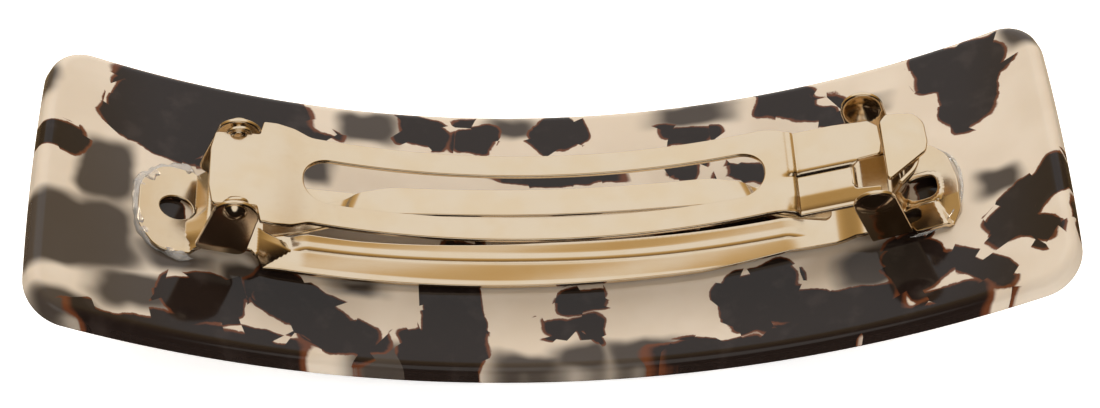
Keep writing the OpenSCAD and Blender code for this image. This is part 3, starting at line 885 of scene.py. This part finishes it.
class BARRETTE_OT_base(bpy.types.Operator):
    """Build the clip base with its ears, guard bridge and rivets"""
    bl_idname = "barrette.base"
    bl_label = "Clip base"

    def execute(self, context):
        sheet, rivet = plated("Plated base", 0.15, 0.05), plated("Plated rivet", 0.12, 0.08)
        finish_piece(build_base(), sheet, "base", "plated_sheet", "clip_base")
        finish_piece(build_rivets(), rivet, "base", "plated_rivet", "hinge_rivets")
        return {"FINISHED"}


class BARRETTE_OT_tabs(bpy.types.Operator):
    """Build the two release tabs"""
    bl_idname = "barrette.tabs"
    bl_label = "Release tabs"

    def execute(self, context):
        metal = plated("Plated tabs", 0.13, 0.05)
        for side, end in ((-1, "front"), (1, "rear")):
            tab = build_tab(side, "release_tab_pressing_" + end)
            finish_piece(tab, metal, "tab_" + end, "plated_sheet", "release_tab_" + end)
        return {"FINISHED"}


class BARRETTE_OT_arm(bpy.types.Operator):
    """Build the slotted arm and its tongue"""
    bl_idname = "barrette.arm"
    bl_label = "Clasp arm"

    def execute(self, context):
        metal = plated("Plated arm", 0.17, 0.05)
        arm = finish_piece(build_arm(), metal, "arm", "plated_sheet", "clasp_arm")
        arm.visible_glossy = False
        return {"FINISHED"}


class BARRETTE_OT_bar(bpy.types.Operator):
    """Build the tension bar, which flattens towards its feet"""
    bl_idname = "barrette.bar"
    bl_label = "Tension bar"

    def execute(self, context):
        metal = plated("Plated spring", 0.13, 0.04)
        bar = finish_piece(build_bar(), metal, "base", "plated_spring", "tension_bar")
        bar.visible_glossy = False
        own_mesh(bar)
        return {"FINISHED"}


class BARRETTE_OT_adhesive(bpy.types.Operator):
    """Build the adhesive squeezed out round both pads"""
    bl_idname = "barrette.adhesive"
    bl_label = "Adhesive"

    def execute(self, context):
        clear = adhesive()
        for side, end in ((-1, "hinge_end"), (1, "catch_end")):
            bead = build_glue(side, "adhesive_bead_" + end)
            finish_piece(bead, clear, "base", "clear_adhesive", "glue_" + end)
        return {"FINISHED"}


class BARRETTE_OT_stage(bpy.types.Operator):
    """Build the floor, the soft light and the camera"""
    bl_idname = "barrette.stage"
    bl_label = "Stage"

    def execute(self, context):
        build_floor()
        build_light()
        build_camera()
        return {"FINISHED"}


def build_floor():
    """A broad pale floor, a flat grid that rises in a smooth curve behind the object."""
    u, v = np.meshgrid(np.linspace(-2, 2, 9), np.linspace(-2, 2, 41))
    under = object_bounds()[0][2] - 0.0001
    rise = 0.5 * np.clip(v - 0.9, 0, None) ** 2
    verts = np.stack([u, v, under + rise], -1).reshape(-1, 3) / MM
    floor = add_mesh("floor", verts, grid_faces(*u.shape, wrap=False)[:, ::-1])
    material, tree, shader = new_material("Pale floor")
    soft = noise(tree, node(tree, "TexCoord").outputs["Object"], 3).outputs[0]
    pale = mixed(tree, soft, (0.93, 0.93, 0.93, 1), (0.95, 0.95, 0.95, 1))
    tree.links.new(pale, shader.inputs["Base Color"])
    shader.inputs["Roughness"].default_value = 0.9
    shader.inputs["Specular IOR Level"].default_value = 0.0
    shader.inputs["Emission Color"].default_value = (1, 1, 1, 1)
    shader.inputs["Emission Strength"].default_value = 0.7
    floor.data.materials.append(material)
    floor.visible_glossy = False
    floor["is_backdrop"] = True


# The tent's colours as (place, colour): the two ends first, then the stops between them
TENT = ((0.2, (0.012, 0.008, 0.006)), (0.89, (1.0, 0.985, 0.965)), (0.35, (0.05, 0.03, 0.014)),
        (0.525, (0.24, 0.15, 0.06)), (0.7, (0.55, 0.37, 0.15)), (0.8, (0.72, 0.54, 0.3)))

# Lamps as (name, place, size, power)
LAMPS = (("Key lamp", (-0.25, 0.35, 0.75), 0.5, 4.0), ("Fill lamp", (0.4, -0.5, 0.7), 0.6, 3.0))


def build_light():
    """A white tent of light above and behind, which falls through ochre to near black low down in front
    and is dimmer at the sides, a small window of light low in front, and two large soft lamps."""
    world = bpy.data.worlds.new("Light tent")
    bpy.context.scene.world = world
    world.use_nodes = True
    tree = world.node_tree
    way = node(tree, "TexCoord").outputs["Generated"]
    x, y, z = node(tree, "SeparateXYZ", {0: way}).outputs
    toward = maths(tree, "MULTIPLY_ADD", y, 0.85, maths(tree, "MULTIPLY", z, 0.53))
    aside = ramp(tree, maths(tree, "ABSOLUTE", x), 0.38, 0.76)
    along = maths(tree, "MULTIPLY_ADD", maths(tree, "MULTIPLY_ADD", aside, -0.45, toward), 0.5, 0.5)
    bands = node(tree, "ValToRGB", {0: along})
    for k, (at, tint) in enumerate(TENT):
        stop = bands.color_ramp.elements[k] if k < 2 else bands.color_ramp.elements.new(at)
        stop.position, stop.color = at, (*tint, 1)
    facing = node(tree, "VectorMath", {0: way, 1: (0.0, -0.87, 0.5)}, operation="DOT_PRODUCT")
    window = ramp(tree, facing.outputs["Value"], 0.91, 0.965)
    colour = mixed(tree, window, bands.outputs[0], (1.0, 0.97, 0.92, 1))
    back = tree.nodes["Background"]
    tree.links.new(colour, back.inputs["Color"])
    back.inputs["Strength"].default_value = 0.92
    for name, where, size, power in LAMPS:
        lamp = bpy.data.lights.new(name, "AREA")
        lamp.shape, lamp.size, lamp.energy = "DISK", size, power
        holder = bpy.data.objects.new(name, lamp)
        bpy.context.scene.collection.objects.link(holder)
        holder.visible_glossy = False
        facing_middle = Vector(where).to_track_quat("Z", "Y").to_matrix().to_4x4()
        holder.matrix_world = Matrix.Translation(where) @ facing_middle


def build_camera():
    """Camera in front of the plate, 52 degrees up, on a long lens."""
    target, distance = Vector((0.0001, 0.00345, 0.004)), 0.2632
    turn, rise, roll = (math.radians(a) for a in (-1.85, 51.91, -0.23))
    back = Vector((math.sin(turn) * math.cos(rise), -math.cos(turn) * math.cos(rise), math.sin(rise)))
    side = Vector((0, 0, 1)).cross(back).normalized()
    up = back.cross(side)
    across = side * math.cos(roll) + up * math.sin(roll)
    lens = bpy.data.cameras.new("Camera")
    lens.lens, lens.sensor_width, lens.clip_start = 83.84, 36.0, 0.01
    camera = bpy.data.objects.new("Camera", lens)
    bpy.context.scene.collection.objects.link(camera)
    turned = Matrix((across, back.cross(across), back)).transposed()
    camera.matrix_world = Matrix.Translation(target + back * distance) @ turned.to_4x4()
    bpy.context.scene.camera = camera


class BARRETTE_PT_panel(bpy.types.Panel):
    """Lists the barrette's settings and its build steps"""
    bl_idname = "BARRETTE_PT_panel"
    bl_label = "Barrette"
    bl_space_type = "VIEW_3D"
    bl_region_type = "UI"
    bl_category = "Barrette"

    def draw(self, context):
        for group in settings():
            for name in group.__annotations__:
                self.layout.prop(group, name)
        for step in STEPS:
            self.layout.operator(step.bl_idname)


STEPS = (BARRETTE_OT_plate, BARRETTE_OT_base, BARRETTE_OT_tabs, BARRETTE_OT_arm, BARRETTE_OT_bar,
         BARRETTE_OT_adhesive, BARRETTE_OT_stage)
CLASSES = (PlateSizes, ClipSizes, FinishColours) + STEPS + (BARRETTE_PT_panel,)


def register():
    """Registers the classes and hangs the three groups of settings on the scene."""
    for cls in CLASSES:
        bpy.utils.register_class(cls)
    bpy.types.Scene.barrette_plate = bpy.props.PointerProperty(type=PlateSizes)
    bpy.types.Scene.barrette_clip = bpy.props.PointerProperty(type=ClipSizes)
    bpy.types.Scene.barrette_finish = bpy.props.PointerProperty(type=FinishColours)


def unregister():
    """Takes the settings and the classes away again."""
    for name in ("barrette_finish", "barrette_clip", "barrette_plate"):
        delattr(bpy.types.Scene, name)
    for cls in reversed(CLASSES):
        bpy.utils.unregister_class(cls)


def main():
    """Builds every piece and the stage."""
    register()
    bpy.context.scene.view_settings.view_transform = "Standard"
    for step in STEPS:
        getattr(bpy.ops.barrette, step.bl_idname.split(".")[1])()


if __name__ == "__main__":
    main()
